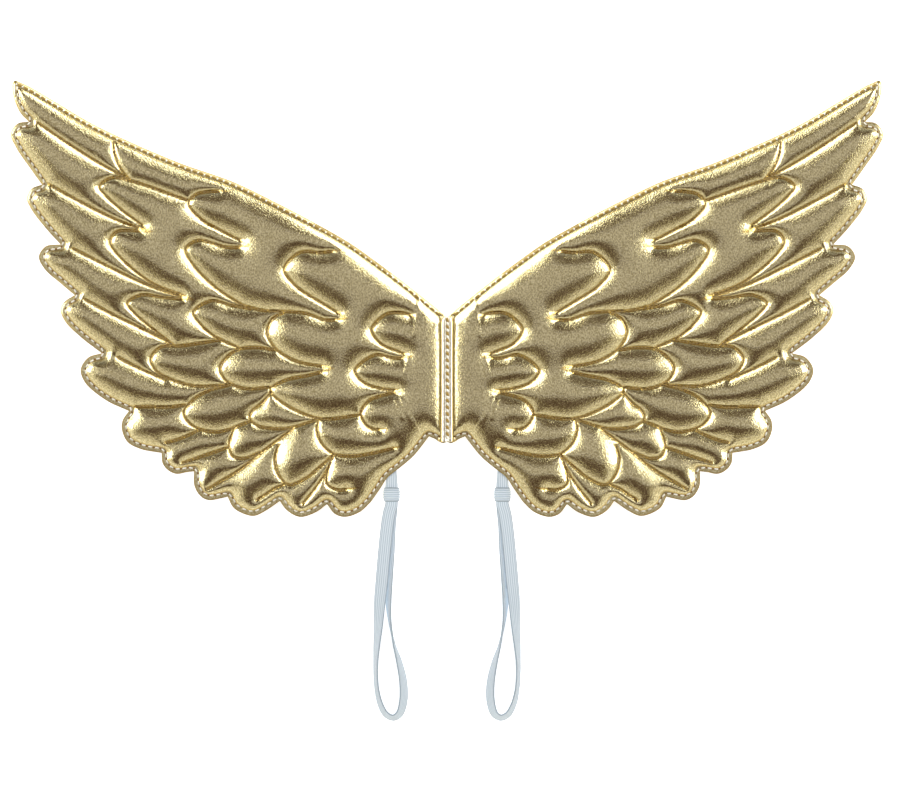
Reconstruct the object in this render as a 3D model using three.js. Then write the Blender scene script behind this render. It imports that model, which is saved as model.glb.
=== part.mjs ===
// Angel wings for a child's costume: two quilted, padded wings that mirror each other, a narrow
// stitched band down the spine between them, and two elastic arm loops that hang below.
// The wings lie on their back, with the quilting up. Millimetres, X to the wing on the viewer's
// right, Y up the wings, Z off the surface that they lie on.
import * as THREE from 'three';

// Driving dimensions
const HALF_SPAN = 219;
const WING_HEIGHT = 219;
const RIM_WALL = 1.3;
const RIM_WIDTH = 2.4;
const SEAM_WALL = 2.2;
const PAD_RISE = 3.8;
const PAD_SHOULDER = 5;
const SPINE_WIDTH = 6.3;
const SPINE_WALL = 1.6;
const SPINE_CROWN = 0.8;
const ELASTIC_WIDTH = 6.2;
const ELASTIC_WALL = 1.1;
const STRAP_OFFSET = 27.75;
const SEWN_REACH = 13;
const KEEPER_LENGTH = 7.3;
const KEEPER_DROP = 10.4;
const KEEPER_SIDE_WALL = 0.85;
const KEEPER_RIB = 0.35;
const KEEPER_RIBS = 3;
const KEEPER_FLAT = 0.6;
const KEEPER_HOLE_FLAT = 0.95;
const LOOP_DROP = 112;
const LOOP_SWAY = 8;
const GAP = 0.3;
const ARCH_INNER = 60;
const ARCH_OUTER = 115;

// Spacing of the facets
const EDGE_STEP = 4.4;
const SEAM_STEP = 4.6;
const SEAM_FLANK = 2.7;
const FILL_STEP = 13;
const BACK_STEP = 19;
const STRAP_STEP = 3.2;

// Two strands of the arm loop lie on each other behind the wings, so the middle arches over them.
const STRAND_PITCH = ELASTIC_WALL + GAP;
const ARCH_LIFT = 3 * STRAND_PITCH;

// The spine band sits in a flat trough between the two paddings.
const BAND_SEAT = SPINE_WIDTH / 2 + GAP;

// The wing's tables are shares of its square: per cent of the half span, counted from the spine
// to the tip, and per cent of the wing's height, counted up from the lowest feather.
const TOP_EDGE = [
  [99.0, 100.0],
  [95.2, 98.2],
  [89.3, 94.7],
  [81.5, 90.1],
  [71.9, 85.5],
  [61.0, 80.9],
  [49.1, 76.7],
  [38.8, 71.7],
  [31.0, 67.6],
  [22.4, 62.7],
  [16.7, 58.7],
  [10.3, 53.9],
  [4.6, 49.4],
  [0, 45.6],
];

// Each row is the free end of one feather on the rim, from the notch above it round to the next.
const FEATHER_ENDS = [
  // notch, brow, nose, chin, belly
  [[99.0, 100.0], [99.4, 98.8], [99.3, 97.0], [98.9, 95.2], [97.6, 92.4]],
  [[95.7, 90.4], [98.2, 90.0], [99.8, 87.6], [98.6, 84.5], [95.2, 79.5]],
  [[92.7, 76.0], [95.0, 75.1], [96.1, 72.8], [95.2, 70.5], [91.8, 66.0]],
  [[88.4, 62.3], [91.8, 61.9], [93.4, 59.5], [92.0, 56.6], [88.4, 53.4]],
  [[85.2, 50.7], [87.4, 49.3], [88.4, 47.4], [87.4, 44.7], [83.8, 41.1]],
  [[79.0, 37.4], [82.0, 36.5], [83.8, 33.8], [82.9, 30.8], [78.1, 26.7]],
  [[72.8, 24.2], [74.2, 22.1], [74.4, 20.0], [73.1, 17.1], [70.1, 15.5]],
  [[65.3, 14.6], [65.1, 12.3], [63.9, 10.7], [61.9, 9.8], [59.6, 10.2]],
  [[57.9, 10.4], [57.8, 7.1], [56.4, 4.7], [54.6, 3.8], [51.8, 4.2]],
  [[50.2, 4.6], [48.9, 2.1], [46.3, 0.6], [44.1, 0.2], [41.6, 1.3]],
  [[38.2, 3.6], [36.8, 1.7], [34.7, 0.3], [33.1, 0.0], [29.9, 1.1]],
  [[27.4, 2.9], [25.6, 0.7], [23.3, 0.0], [19.8, 1.2], [17.4, 3.4]],
  [[17.4, 3.4], [15.3, 6.4], [13.4, 9.2], [10.7, 11.3], [7.6, 14.0]],
  [[4.1, 18.4], [3.4, 18.1], [2.7, 17.8], [2.0, 17.3], [1.4, 17.0]],
  [[0, 16.7]],
];

// Each row is the seam round one tucked feather: from its upper root over the brow and the tip
// and back under the belly to its lower root.
const FEATHER_SEAMS = [
  // upper root, back, brow, tip, chin, belly, lower root
  [[59.4, 72.4], [72.6, 76.9], [76.9, 77.5], [79.5, 75.5], [78.1, 73.5], [74.7, 70.4], [67.4, 65.1]],
  [[67.6, 65.0], [72.4, 65.5], [75.6, 65.2], [77.1, 63.0], [75.8, 60.5], [67.8, 53.7], [58.0, 49.8]],
  [[57.8, 49.6], [64.4, 50.1], [70.1, 50.7], [73.1, 48.9], [71.5, 46.6], [68.3, 43.8], [62.8, 39.5]],
  [[52.1, 40.4], [61.0, 39.1], [65.5, 38.8], [67.8, 36.1], [66.4, 33.3], [58.7, 30.1], [49.8, 30.1]],
  [[49.8, 30.1], [53.7, 29.1], [57.5, 27.2], [60.2, 23.7], [58.7, 21.2], [53.0, 19.4], [44.7, 21.9]],
  [[48.6, 20.2], [49.2, 18.8], [49.7, 17.2], [49.8, 15.5], [48.9, 13.8], [46.2, 13.4], [42.7, 14.8]],
  [[49.5, 74.5], [54.6, 74.4], [57.5, 73.7], [59.1, 71.6], [56.4, 68.2], [51.4, 65.3], [44.7, 62.0]],
  [[44.7, 62.0], [50.0, 61.6], [57.1, 63.2], [59.8, 61.1], [57.8, 57.3], [53.0, 52.5], [46.6, 48.3]],
  [[46.6, 48.3], [42.0, 47.2], [38.1, 47.0], [32.4, 46.5], [27.9, 45.0], [25.5, 45.0], [22.6, 45.4]],
  [[45.0, 47.6], [49.5, 48.4], [53.9, 49.4], [58.0, 46.8], [56.2, 43.8], [53.0, 41.2], [47.7, 38.7]],
  [[39.5, 38.1], [43.2, 38.7], [48.2, 38.1], [51.9, 34.2], [50.9, 31.5], [46.6, 29.4], [40.4, 29.6]],
  [[40.2, 28.5], [42.2, 26.1], [44.5, 24.3], [45.1, 22.6], [43.4, 20.9], [37.0, 20.2], [29.9, 22.1]],
  [[23.5, 61.1], [28.5, 60.4], [33.6, 60.4], [37.2, 56.6], [34.7, 52.9], [29.0, 49.1], [22.6, 45.3]],
  [[37.4, 46.7], [39.0, 45.9], [40.2, 44.8], [41.1, 42.0], [39.3, 38.6], [34.7, 35.7], [25.8, 34.0]],
  [[26.0, 33.9], [31.3, 32.4], [37.0, 31.2], [40.3, 29.0], [37.9, 26.3], [29.0, 22.5], [19.9, 23.3]],
  [[6.6, 45.3], [10.0, 46.6], [13.9, 46.3], [17.2, 42.7], [15.3, 39.7], [11.2, 37.8], [8.0, 36.6]],
  [[8.4, 36.4], [12.3, 36.3], [16.4, 37.0], [21.0, 33.4], [19.2, 30.8], [14.8, 29.3], [9.8, 28.8]],
  [[10.0, 28.8], [14.2, 27.9], [18.0, 26.4], [19.7, 23.5], [18.3, 20.8], [16.2, 20.0], [13.5, 20.2]],
  [[29.2, 22.3], [29.7, 19.9], [28.8, 17.0], [26.0, 14.5], [22.1, 13.9], [16.4, 14.7], [10.3, 16.2]],
  [[38.6, 16.2], [39.3, 13.0], [38.5, 9.6], [36.1, 7.4], [32.2, 8.9], [28.5, 11.9], [26.0, 14.2]],
  [[25.8, 14.2], [26.7, 12.3], [27.2, 10.5], [27.4, 7.5], [24.9, 6.2], [22.5, 6.4], [20.1, 6.8]],
];

// Each row is a seam that runs in from a notch of the rim, between two of the long feathers.
const NOTCH_SEAMS = [
  // rim end, first third, second third, inner end
  [[93.6, 90.1], [87.2, 85.7], [79.7, 81.0], [72.6, 77.1]],
  [[76.3, 85.4], [76.1, 83.3], [75.1, 80.4], [72.8, 77.2]],
  [[91.1, 76.1], [84.9, 72.6], [76.2, 68.2], [67.8, 65.1]],
  [[85.6, 61.4], [77.0, 57.0], [68.0, 52.8], [57.8, 49.5]],
  [[82.9, 49.8], [76.9, 46.5], [70.1, 43.2], [62.8, 39.4]],
  [[75.3, 36.5], [71.9, 34.7], [68.3, 33.0], [64.4, 31.3]],
  [[71.5, 25.2], [67.8, 25.2], [63.7, 25.1], [60.0, 25.6]],
  [[64.4, 17.0], [61.9, 17.6], [59.3, 18.6], [56.6, 19.9]],
  [[60.5, 12.4], [57.1, 13.5], [53.5, 14.7], [49.8, 16.0]],
  [[54.8, 6.4], [47.5, 10.7], [41.4, 15.5], [35.2, 20.1]],
  [[43.4, 3.9], [41.4, 5.2], [39.4, 6.5], [37.2, 7.4]],
  [[32.9, 3.0], [30.2, 6.4], [28.2, 9.3], [26.3, 13.2]],
];

// Each row is a place of the left arm loop, from the keeper round the loop and back. Shares of
// the loop's sway away from the spine and of its drop, the turn of the band about its length in
// degrees, and the strands that it lies on.
const LOOP_ROUTE = [
  // out, drop, turn, level
  [0.00, 0.000, 0, 2.0],
  [0.00, 0.042, 0, 2.0],
  [0.16, 0.085, 0, 1.95],
  [0.31, 0.156, 3, 1.85],
  [0.47, 0.268, 5, 1.95],
  [0.61, 0.380, 10, 1.95],
  [0.74, 0.480, 24, 1.15],
  [0.84, 0.600, 50, 0],
  [0.93, 0.680, 62, 0],
  [0.98, 0.737, 70, 0],
  [0.99, 0.800, 73, 0],
  [0.91, 0.870, 72, 0],
  [0.66, 0.930, 66, 0],
  [0.34, 0.970, 64, 0],
  [-0.12, 1.000, 66, 0],
  [-0.54, 0.968, 64, 0],
  [-0.74, 0.900, 64, 0],
  [-0.69, 0.826, 66, 0],
  [-0.46, 0.746, 74, 0],
  [-0.16, 0.670, 87, 0],
  [0.12, 0.558, 102, 0],
  [0.20, 0.469, 118, 0],
  [0.21, 0.357, 140, 0],
  [0.17, 0.246, 160, 0],
  [0.12, 0.134, 175, 0.5],
  [0.04, 0.075, 180, 0.95],
  [0.00, 0.042, 180, 1.0],
  [0.00, 0.000, 180, 1.0],
];

const GOLD_SKIN = { color: 0xb39c66, roughness: 0.38, metalness: 0.9 };
const GOLD_BAND = { color: 0xc4ad78, roughness: 0.34, metalness: 0.9 };
const PALE_ELASTIC = { color: 0xd9dee6, roughness: 0.85, metalness: 0 };

// Small shapes and measures

function wingPlace([across, up]) {
  return new THREE.Vector2(-across / 100 * HALF_SPAN, up / 100 * WING_HEIGHT);
}

function smoothStretch(places, step) {
  const knots = places.map((place) => new THREE.Vector3(place.x, place.y, 0));
  const curve = new THREE.CatmullRomCurve3(knots, false, 'centripetal');
  const count = Math.max(1, Math.round(curve.getLength() / step));
  return curve.getSpacedPoints(count).map((point) => new THREE.Vector2(point.x, point.y));
}

function distanceToLine(place, line) {
  let nearest = Infinity;
  const closest = new THREE.Vector3();
  const probe = new THREE.Vector3(place.x, place.y, 0);
  for (let index = 0; index + 1 < line.length; index += 1) {
    const start = new THREE.Vector3(line[index].x, line[index].y, 0);
    const end = new THREE.Vector3(line[index + 1].x, line[index + 1].y, 0);
    new THREE.Line3(start, end).closestPointToPoint(probe, true, closest);
    nearest = Math.min(nearest, closest.distanceTo(probe));
  }
  return nearest;
}

function isInside(place, outline) {
  let inside = false;
  outline.forEach((corner, index) => {
    const next = outline[(index + 1) % outline.length];
    const straddles = (corner.y > place.y) !== (next.y > place.y);
    const crossing = corner.x + (place.y - corner.y) / (next.y - corner.y) * (next.x - corner.x);
    if (straddles && place.x < crossing) {
      inside = !inside;
    }
  });
  return inside;
}

// The rim of the left wing, once round: up the spine, out along the top edge to the tip, and
// back past the free ends of the feathers. It stops half a gap short of the centre line.
const rimEnds = FEATHER_ENDS.slice(0, -1).map((row, index) => {
  const toNextNotch = [...row, FEATHER_ENDS[index + 1][0]];
  return smoothStretch(toNextNotch.map(wingPlace), EDGE_STEP).slice(0, -1);
});
const spineFoot = wingPlace(FEATHER_ENDS.at(-1)[0]);
const spineHead = wingPlace(TOP_EDGE.at(-1));
const spineCount = Math.round((spineHead.y - spineFoot.y) / EDGE_STEP);
const spineEdge = [];
for (let index = 0; index < spineCount; index += 1) {
  spineEdge.push(new THREE.Vector2().lerpVectors(spineFoot, spineHead, index / spineCount));
}
const topEdge = smoothStretch(TOP_EDGE.map(wingPlace), EDGE_STEP).reverse().slice(0, -1);
const outerRim = [...topEdge, ...rimEnds.flat(), spineFoot];
const outline = [...topEdge, ...rimEnds.flat(), ...spineEdge];
for (const place of [...outline, spineFoot]) {
  place.x = Math.min(place.x, -GAP / 2);
}

const seams = [...FEATHER_SEAMS, ...NOTCH_SEAMS].map((row) => {
  return smoothStretch(row.map(wingPlace), SEAM_STEP);
});

// Heights

function archAt(x) {
  return ARCH_LIFT * THREE.MathUtils.smoothstep(ARCH_OUTER - Math.abs(x), 0, ARCH_OUTER - ARCH_INNER);
}

function quarterRound(share) {
  const run = THREE.MathUtils.clamp(share, 0, 1);
  return Math.sqrt(1 - (1 - run) ** 2);
}

function paddingAt(place) {
  const rimRun = distanceToLine(place, outerRim) - RIM_WIDTH;
  const seamRun = Math.min(...seams.map((seam) => distanceToLine(place, seam)));
  const spineRun = -place.x - BAND_SEAT;
  if (rimRun < GAP && spineRun > 0) {
    return RIM_WALL;
  }
  const run = Math.min(rimRun, seamRun, spineRun);
  return SEAM_WALL + PAD_RISE * quarterRound(run / PAD_SHOULDER);
}

// Triangles over scattered places, each circle through three corners holding no other place

function circled(places, corners) {
  const [a, b, c] = corners.map((corner) => places[corner]);
  const ab = b.clone().sub(a);
  const ac = c.clone().sub(a);
  const twice = 2 * ab.cross(ac);
  const x = (ac.y * ab.lengthSq() - ab.y * ac.lengthSq()) / twice;
  const y = (ab.x * ac.lengthSq() - ac.x * ab.lengthSq()) / twice;
  return { corners, centre: new THREE.Vector2(a.x + x, a.y + y), reach: x * x + y * y };
}

function triangulate(places) {
  const far = 100 * (HALF_SPAN + WING_HEIGHT);
  const frame = [[-far, -far], [far, -far], [0, far]].map(([x, y]) => new THREE.Vector2(x, y));
  const all = [...places, ...frame];
  const count = places.length;
  let triangles = [circled(all, [count, count + 1, count + 2])];
  places.forEach((place, index) => {
    const struck = triangles.filter(({ centre, reach }) => centre.distanceToSquared(place) < reach);
    const loose = new Map();
    for (const { corners: [a, b, c] } of struck) {
      for (const [from, to] of [[a, b], [b, c], [c, a]]) {
        if (!loose.delete(`${to} ${from}`)) {
          loose.set(`${from} ${to}`, [from, to]);
        }
      }
    }
    triangles = triangles.filter((triangle) => !struck.includes(triangle));
    for (const [from, to] of loose.values()) {
      triangles.push(circled(all, [from, to, index]));
    }
  });
  return triangles.map(({ corners }) => corners).filter((corners) => {
    const middle = new THREE.Vector2();
    corners.forEach((corner) => middle.addScaledVector(all[corner], 1 / 3));
    return Math.max(...corners) < count && isInside(middle, outline);
  });
}

function addSpaced(places, candidates, spacing) {
  for (const candidate of candidates) {
    if (places.every((place) => place.distanceTo(candidate) > spacing)) {
      places.push(candidate);
    }
  }
}

function flanksOf(line, distance) {
  const flanks = [];
  for (let index = 0; index + 1 < line.length; index += 1) {
    const along = line[index + 1].clone().sub(line[index]).normalize();
    const across = new THREE.Vector2(-along.y, along.x);
    const middle = line[index].clone().lerp(line[index + 1], 0.5);
    flanks.push(middle.clone().addScaledVector(across, distance));
    flanks.push(middle.clone().addScaledVector(across, -distance));
  }
  return flanks;
}

function fillOf(step) {
  const rowStep = step * Math.sqrt(3) / 2;
  const fill = [];
  for (let row = 1; row * rowStep < WING_HEIGHT; row += 1) {
    for (let column = row % 2 / 2; column * step < HALF_SPAN; column += 1) {
      fill.push(new THREE.Vector2(-column * step, row * rowStep));
    }
  }
  return fill.filter((place) => isInside(place, outline));
}

function lowerRimAt(x) {
  const crossings = outerRim.slice(0, -1).flatMap((corner, index) => {
    const next = outerRim[index + 1];
    const share = (x - corner.x) / (next.x - corner.x);
    return share >= 0 && share <= 1 ? [THREE.MathUtils.lerp(corner.y, next.y, share)] : [];
  });
  return Math.min(...crossings);
}

function clearOf(line, distance) {
  const share = 0.96;
  return (place) => isInside(place, outline) && distanceToLine(place, line) > share * distance;
}

// Left wing: the quilted front over the padding, a thin flat rim, and a plain back

function wingGeometry() {
  const front = [...outline];
  const shoulder = RIM_WIDTH + SEAM_FLANK;
  const edgeClear = clearOf(outerRim, RIM_WIDTH);
  for (const run of [0, SEAM_FLANK]) {
    const trough = flanksOf([...spineEdge, spineHead], BAND_SEAT - GAP / 2 + run);
    addSpaced(front, trough.filter(edgeClear), RIM_WIDTH / 2);
  }
  addSpaced(front, seams.flat().filter(clearOf(outerRim, RIM_WIDTH + GAP)), SEAM_STEP / 2);
  addSpaced(front, flanksOf(outerRim, RIM_WIDTH).filter(edgeClear), RIM_WIDTH / 2);
  addSpaced(front, flanksOf(outerRim, shoulder).filter(clearOf(outerRim, shoulder)), SEAM_FLANK / 2);
  const sides = seams.flatMap((seam) => flanksOf(seam, SEAM_FLANK));
  const apart = (place) => seams.every((seam) => distanceToLine(place, seam) > SEAM_FLANK / 2);
  addSpaced(front, sides.filter(edgeClear).filter(apart), SEAM_FLANK / 2);
  addSpaced(front, fillOf(FILL_STEP).filter(edgeClear), FILL_STEP / 2);
  const back = [...outline];
  addSpaced(back, fillOf(BACK_STEP).filter(clearOf(outerRim, BACK_STEP / 4)), BACK_STEP / 4);

  const vertices = [];
  for (const place of front) {
    vertices.push(place.x, place.y, archAt(place.x) + paddingAt(place));
  }
  for (const place of back) {
    vertices.push(place.x, place.y, archAt(place.x));
  }
  const under = front.length;
  const faces = triangulate(front);
  for (const [a, b, c] of triangulate(back)) {
    faces.push([under + a, under + c, under + b]);
  }
  outline.forEach((place, index) => {
    const next = (index + 1) % outline.length;
    faces.push([index, under + index, under + next], [index, under + next, next]);
  });
  return solidFrom(vertices, faces.flat());
}

function solidFrom(vertices, indices) {
  const geometry = new THREE.BufferGeometry();
  geometry.setAttribute('position', new THREE.Float32BufferAttribute(vertices, 3));
  geometry.setIndex(indices);
  return geometry;
}

// Spine band: a strip with a slightly crowned face, over the inner edges of both wings

function spineGeometry() {
  const half = SPINE_WIDTH / 2;
  const section = new THREE.Shape();
  section.moveTo(-half, 0);
  section.lineTo(half, 0);
  section.lineTo(half, SPINE_WALL);
  section.quadraticCurveTo(0, SPINE_WALL + 2 * SPINE_CROWN, -half, SPINE_WALL);
  const length = spineHead.y - lowerRimAt(-half);
  const geometry = new THREE.ExtrudeGeometry(section, { depth: length, bevelEnabled: false, curveSegments: 6 });
  geometry.rotateX(Math.PI / 2);
  geometry.translate(0, spineHead.y, ARCH_LIFT + SEAM_WALL + GAP);
  return geometry;
}

// Rings of corners joined into a tube, with flat ends or joined round into a closed ring

function tubeBetween(rings, isClosed) {
  const corners = rings[0].length;
  const spans = isClosed ? rings.length : rings.length - 1;
  const faces = [];
  for (let ring = 0; ring < spans; ring += 1) {
    const here = ring * corners;
    const there = (ring + 1) % rings.length * corners;
    for (let corner = 0; corner < corners; corner += 1) {
      const next = (corner + 1) % corners;
      faces.push(here + corner, there + corner, here + next);
      faces.push(here + next, there + corner, there + next);
    }
  }
  const last = (rings.length - 1) * corners;
  for (let corner = 1; corner + 1 < corners && !isClosed; corner += 1) {
    faces.push(0, corner, corner + 1, last, last + corner + 1, last + corner);
  }
  return solidFrom(rings.flat().flatMap((place) => place.toArray()), faces);
}

// Arm loop: one flat elastic band, both ends sewn behind the wing, with its strands on each
// other at the keeper and the band on its edge round the foot of the loop

const rimOverStrap = lowerRimAt(-STRAP_OFFSET);
const keeperMiddle = rimOverStrap - KEEPER_DROP;

function strapGeometry() {
  const rows = LOOP_ROUTE.map(([out, drop, turn, level]) => {
    return [-STRAP_OFFSET - out * LOOP_SWAY, keeperMiddle - drop * LOOP_DROP, turn, level];
  });
  const sewnEnd = rimOverStrap + SEWN_REACH;
  const rimPass = (rimOverStrap + keeperMiddle + KEEPER_LENGTH / 2) / 2;
  const [first, last] = [rows[0], rows.at(-1)];
  const route = [
    [first[0], sewnEnd, first[2], first[3]],
    [first[0], rimPass, first[2], first[3]],
    ...rows,
    [last[0], rimPass, last[2], last[3]],
    [last[0], sewnEnd, last[2], last[3]],
  ];
  const middles = route.map(([x, y, turn, level]) => {
    const angle = THREE.MathUtils.degToRad(turn);
    const rise = ELASTIC_WIDTH / 2 * Math.sin(angle) + ELASTIC_WALL / 2 * Math.abs(Math.cos(angle));
    return new THREE.Vector3(x, y, rise + level * STRAND_PITCH);
  });
  const curve = new THREE.CatmullRomCurve3(middles, false, 'centripetal');
  const turns = new THREE.CatmullRomCurve3(route.map((row, index) => {
    return new THREE.Vector3(index, row[2], 0);
  }), false, 'centripetal');
  const count = Math.round(curve.getLength() / STRAP_STEP);
  const rings = [];
  for (let index = 0; index <= count; index += 1) {
    const share = curve.getUtoTmapping(index / count);
    const middle = curve.getPoint(share);
    const along = curve.getTangent(share);
    const turn = THREE.MathUtils.degToRad(turns.getPoint(share).y);
    const up = new THREE.Vector3(0, 0, 1);
    const outward = along.clone().cross(up).normalize();
    const lift = outward.clone().cross(along);
    const wide = outward.clone().multiplyScalar(Math.cos(turn)).addScaledVector(lift, -Math.sin(turn));
    const thick = lift.multiplyScalar(Math.cos(turn)).addScaledVector(outward, Math.sin(turn));
    wide.multiplyScalar(ELASTIC_WIDTH / 2);
    thick.multiplyScalar(ELASTIC_WALL / 2);
    middle.z = Math.max(middle.z, Math.abs(wide.z) + Math.abs(thick.z));
    rings.push([[-1, -1], [1, -1], [1, 1], [-1, 1]].map(([side, face]) => {
      return middle.clone().addScaledVector(wide, side).addScaledVector(thick, face);
    }));
  }
  return tubeBetween(rings, false);
}

// Keeper: a short length of the elastic wrapped tightly round both strands, its ribs lying
// across them. Its lower turn lies on the surface.

function keeperRing(y, halfWidth, halfHeight, flat) {
  const middleHeight = (ELASTIC_WALL + ARCH_LIFT) / 2;
  const corners = [
    [-1, -flat], [-flat, -1], [flat, -1], [1, -flat], [1, flat], [flat, 1], [-flat, 1], [-1, flat],
  ];
  return corners.map(([side, face]) => {
    return new THREE.Vector3(-STRAP_OFFSET + side * halfWidth, y, middleHeight + face * halfHeight);
  });
}

function keeperGeometry() {
  const halfWidth = ELASTIC_WIDTH / 2 + GAP;
  const halfHeight = (ARCH_LIFT - ELASTIC_WALL) / 2;
  const stations = 2 * KEEPER_RIBS;
  const outside = [];
  const inside = [];
  for (let station = 0; station <= stations; station += 1) {
    const y = keeperMiddle + KEEPER_LENGTH * (station / stations - 0.5);
    const dip = station % 2 ? 0 : KEEPER_RIB;
    const wall = ELASTIC_WALL - dip;
    outside.push(keeperRing(y, halfWidth + KEEPER_SIDE_WALL - dip, halfHeight + wall, KEEPER_FLAT));
    inside.unshift(keeperRing(y, halfWidth, halfHeight, KEEPER_HOLE_FLAT));
  }
  return tubeBetween([...outside, ...inside], true);
}

// The right-hand pieces mirror the left-hand ones about the spine.

function mirrored(geometry) {
  const twin = geometry.clone();
  twin.scale(-1, 1, 1);
  const corners = twin.getIndex().array;
  for (let face = 0; face < corners.length; face += 3) {
    [corners[face], corners[face + 1]] = [corners[face + 1], corners[face]];
  }
  return twin;
}

function piece(name, geometry, finish) {
  const mesh = new THREE.Mesh(geometry, new THREE.MeshStandardMaterial(finish));
  mesh.name = name;
  return mesh;
}

const wings = new THREE.Group();
wings.add(piece('spine_band', spineGeometry(), GOLD_BAND));
const leftPieces = [
  ['wing', wingGeometry(), GOLD_SKIN],
  ['strap', strapGeometry(), PALE_ELASTIC],
  ['keeper', keeperGeometry(), PALE_ELASTIC],
];
for (const [name, geometry, finish] of leftPieces) {
  wings.add(piece(`${name}_left`, geometry, finish));
  wings.add(piece(`${name}_right`, mirrored(geometry), finish));
}

// The origin is the middle of the bottom of the whole part's box.
const bounds = new THREE.Box3().setFromObject(wings);
const middle = bounds.getCenter(new THREE.Vector3());
wings.position.set(-middle.x, -middle.y, -bounds.min.z);

export default wings;
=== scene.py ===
import math

import bmesh
import bpy
import numpy as np
from mathutils import Matrix, Vector, noise
from mathutils.kdtree import KDTree


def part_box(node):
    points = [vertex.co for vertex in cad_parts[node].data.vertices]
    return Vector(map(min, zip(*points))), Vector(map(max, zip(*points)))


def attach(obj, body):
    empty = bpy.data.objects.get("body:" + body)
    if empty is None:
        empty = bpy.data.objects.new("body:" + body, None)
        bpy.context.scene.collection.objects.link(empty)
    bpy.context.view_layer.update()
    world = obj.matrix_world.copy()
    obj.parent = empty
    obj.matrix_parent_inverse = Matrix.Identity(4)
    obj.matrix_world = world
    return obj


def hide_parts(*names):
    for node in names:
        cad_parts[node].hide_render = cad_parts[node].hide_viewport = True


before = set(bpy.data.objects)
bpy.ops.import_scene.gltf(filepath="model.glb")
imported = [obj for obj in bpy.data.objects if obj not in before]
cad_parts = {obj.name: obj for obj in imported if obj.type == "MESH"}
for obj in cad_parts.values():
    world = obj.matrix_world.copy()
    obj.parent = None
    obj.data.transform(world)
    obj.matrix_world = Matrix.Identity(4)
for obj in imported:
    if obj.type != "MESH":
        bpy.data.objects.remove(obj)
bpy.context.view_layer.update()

# Pattern of the wing. Every seam and the rim follow one paper pattern, drawn on the square of
# one wing: per cent of the half span out from the spine, and per cent of the height up from the
# lowest feather. The right wing is cut from the same pattern, turned over.
TOP_EDGE = [
    (99.0, 100.0), (95.2, 98.2), (89.3, 94.7), (81.5, 90.1), (71.9, 85.5), (61.0, 80.9), (49.1, 76.7),
    (38.8, 71.7), (31.0, 67.6), (22.4, 62.7), (16.7, 58.7), (10.3, 53.9), (4.6, 49.4), (0, 45.6),
]
FEATHER_ENDS = [
    # notch, brow, nose, chin, belly
    [(99.0, 100.0), (99.4, 98.8), (99.3, 97.0), (98.9, 95.2), (97.6, 92.4)],
    [(95.7, 90.4), (98.2, 90.0), (99.8, 87.6), (98.6, 84.5), (95.2, 79.5)],
    [(92.7, 76.0), (95.0, 75.1), (96.1, 72.8), (95.2, 70.5), (91.8, 66.0)],
    [(88.4, 62.3), (91.8, 61.9), (93.4, 59.5), (92.0, 56.6), (88.4, 53.4)],
    [(85.2, 50.7), (87.4, 49.3), (88.4, 47.4), (87.4, 44.7), (83.8, 41.1)],
    [(79.0, 37.4), (82.0, 36.5), (83.8, 33.8), (82.9, 30.8), (78.1, 26.7)],
    [(72.8, 24.2), (74.2, 22.1), (74.4, 20.0), (73.1, 17.1), (70.1, 15.5)],
    [(65.3, 14.6), (65.1, 12.3), (63.9, 10.7), (61.9, 9.8), (59.6, 10.2)],
    [(57.9, 10.4), (57.8, 7.1), (56.4, 4.7), (54.6, 3.8), (51.8, 4.2)],
    [(50.2, 4.6), (48.9, 2.1), (46.3, 0.6), (44.1, 0.2), (41.6, 1.3)],
    [(38.2, 3.6), (36.8, 1.7), (34.7, 0.3), (33.1, 0.0), (29.9, 1.1)],
    [(27.4, 2.9), (25.6, 0.7), (23.3, 0.0), (19.8, 1.2)],
    [(17.4, 3.4), (15.3, 6.4), (13.4, 9.2), (10.7, 11.3), (7.6, 14.0)],
    [(4.1, 18.4), (3.4, 18.1), (2.7, 17.8), (2.0, 17.3), (1.4, 17.0)],
    [(0, 16.7)],
]
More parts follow.
